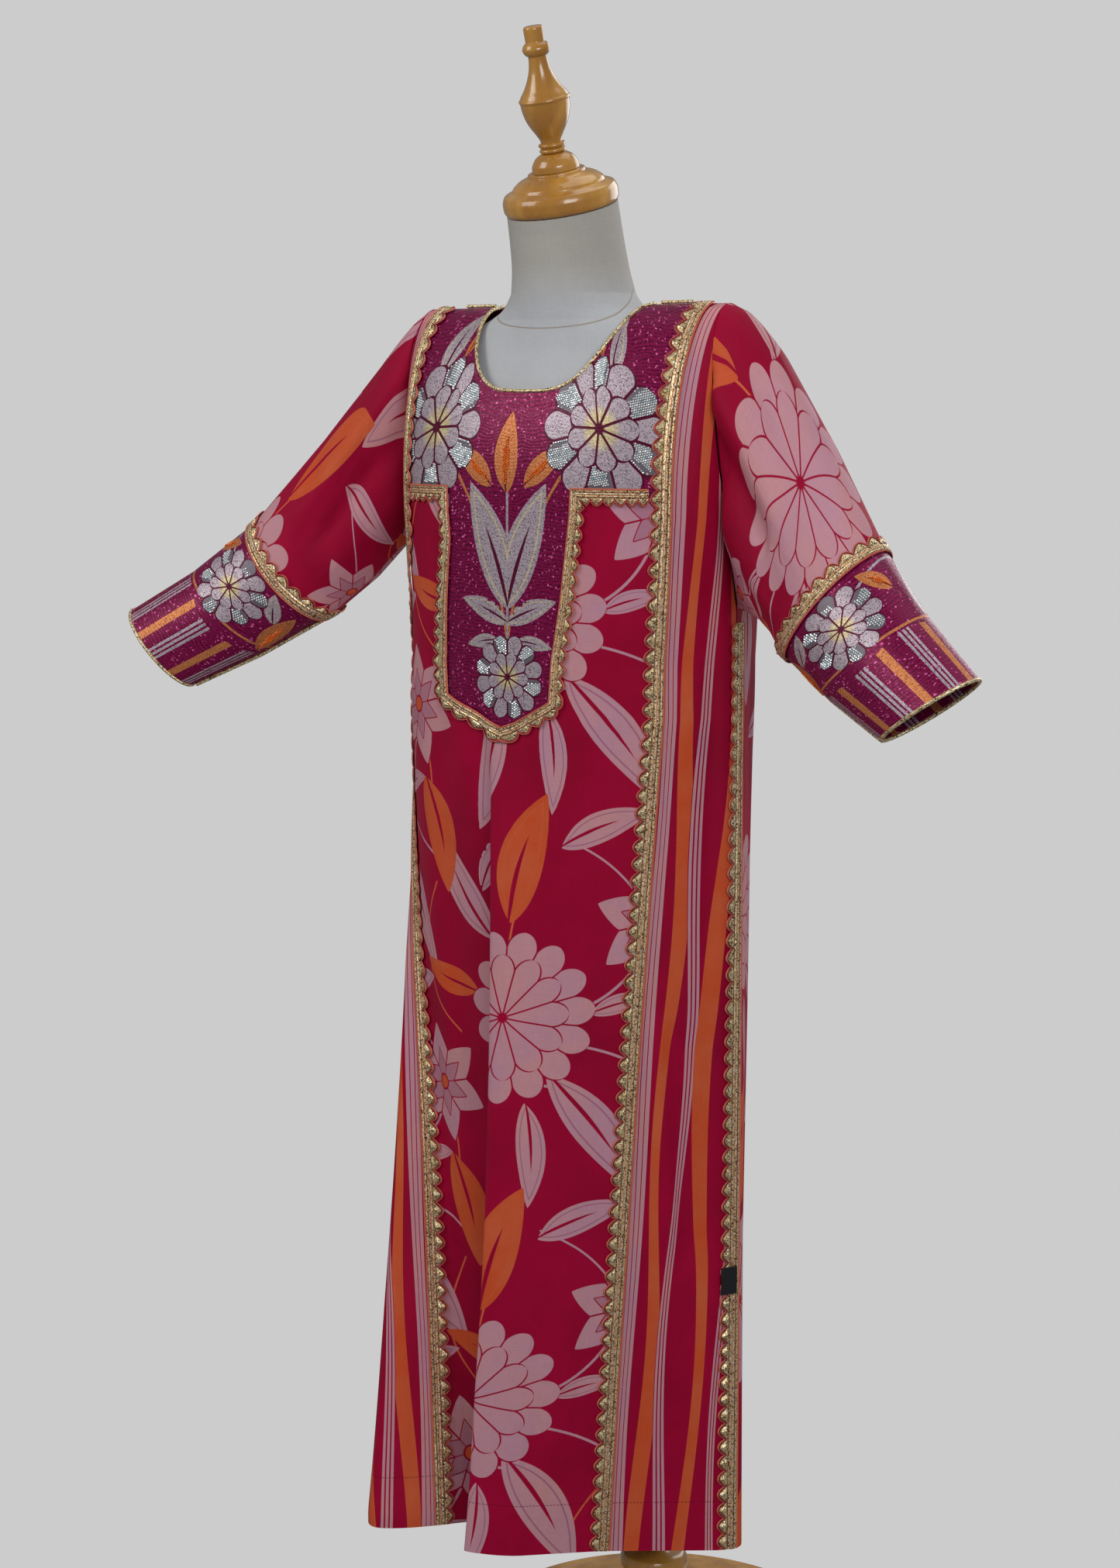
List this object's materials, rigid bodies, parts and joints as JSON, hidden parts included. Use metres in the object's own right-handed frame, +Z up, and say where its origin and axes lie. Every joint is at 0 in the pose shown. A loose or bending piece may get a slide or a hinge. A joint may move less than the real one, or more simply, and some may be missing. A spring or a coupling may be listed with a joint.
{
  "type": "child's kandura on a dress form",
  "caption": "Child's embroidered kandura with printed front, striped sides, 3/4 sleeves and gold scalloped trims, on a limbless dress form with a round wooden base.",
  "frame": {"origin": "on the floor under the middle of the round base", "axes": "+Z up, -Y out of the garment's front, +X to the wearer's left"},
  "size_m": [0.8645, 0.3829, 1.4673],
  "materials": {
    "cerise_cloth": "cerise satin cotton printed with pale pink flowers, lilac and orange leaves, soft sheen",
    "striped_cloth": "cerise cotton with wavy orange and pale lilac stripes down it",
    "embroidery": "plum cloth closely worked with sequins, silver thread and small stones",
    "gold_trim": "pale gold metal thread braid, scalloped on one side, and round gold cord",
    "linen": "plain pale grey linen, matt",
    "turned_wood": "honey coloured turned wood, glossy varnish",
    "label_cloth": "plain black woven tape, bare"
  },
  "bodies": {
    "root": {"base": "turned_wood", "pole": "turned_wood", "torso": "linen", "neck_cap": "turned_wood", "finial": "turned_wood", "front_panel": "cerise_cloth", "side_panel_left": "striped_cloth", "side_panel_right": "striped_cloth", "back_panel": "cerise_cloth", "yoke": "embroidery", "neck_binding": "gold_trim", "shoulder_cord_left": "gold_trim", "shoulder_cord_right": "gold_trim", "yoke_trim": "gold_trim", "front_trim_left": "gold_trim", "front_trim_right": "gold_trim", "side_trim_left": "gold_trim", "side_trim_right": "gold_trim", "sleeve_left": "cerise_cloth", "sleeve_right": "cerise_cloth", "cuff_left": "embroidery", "cuff_right": "embroidery", "cuff_trim_left": "gold_trim", "cuff_trim_right": "gold_trim", "cuff_cord_left": "gold_trim", "cuff_cord_right": "gold_trim", "cuff_seam_cord_left": "gold_trim", "cuff_seam_cord_right": "gold_trim", "label": "label_cloth"}
  },
  "joints": []
}
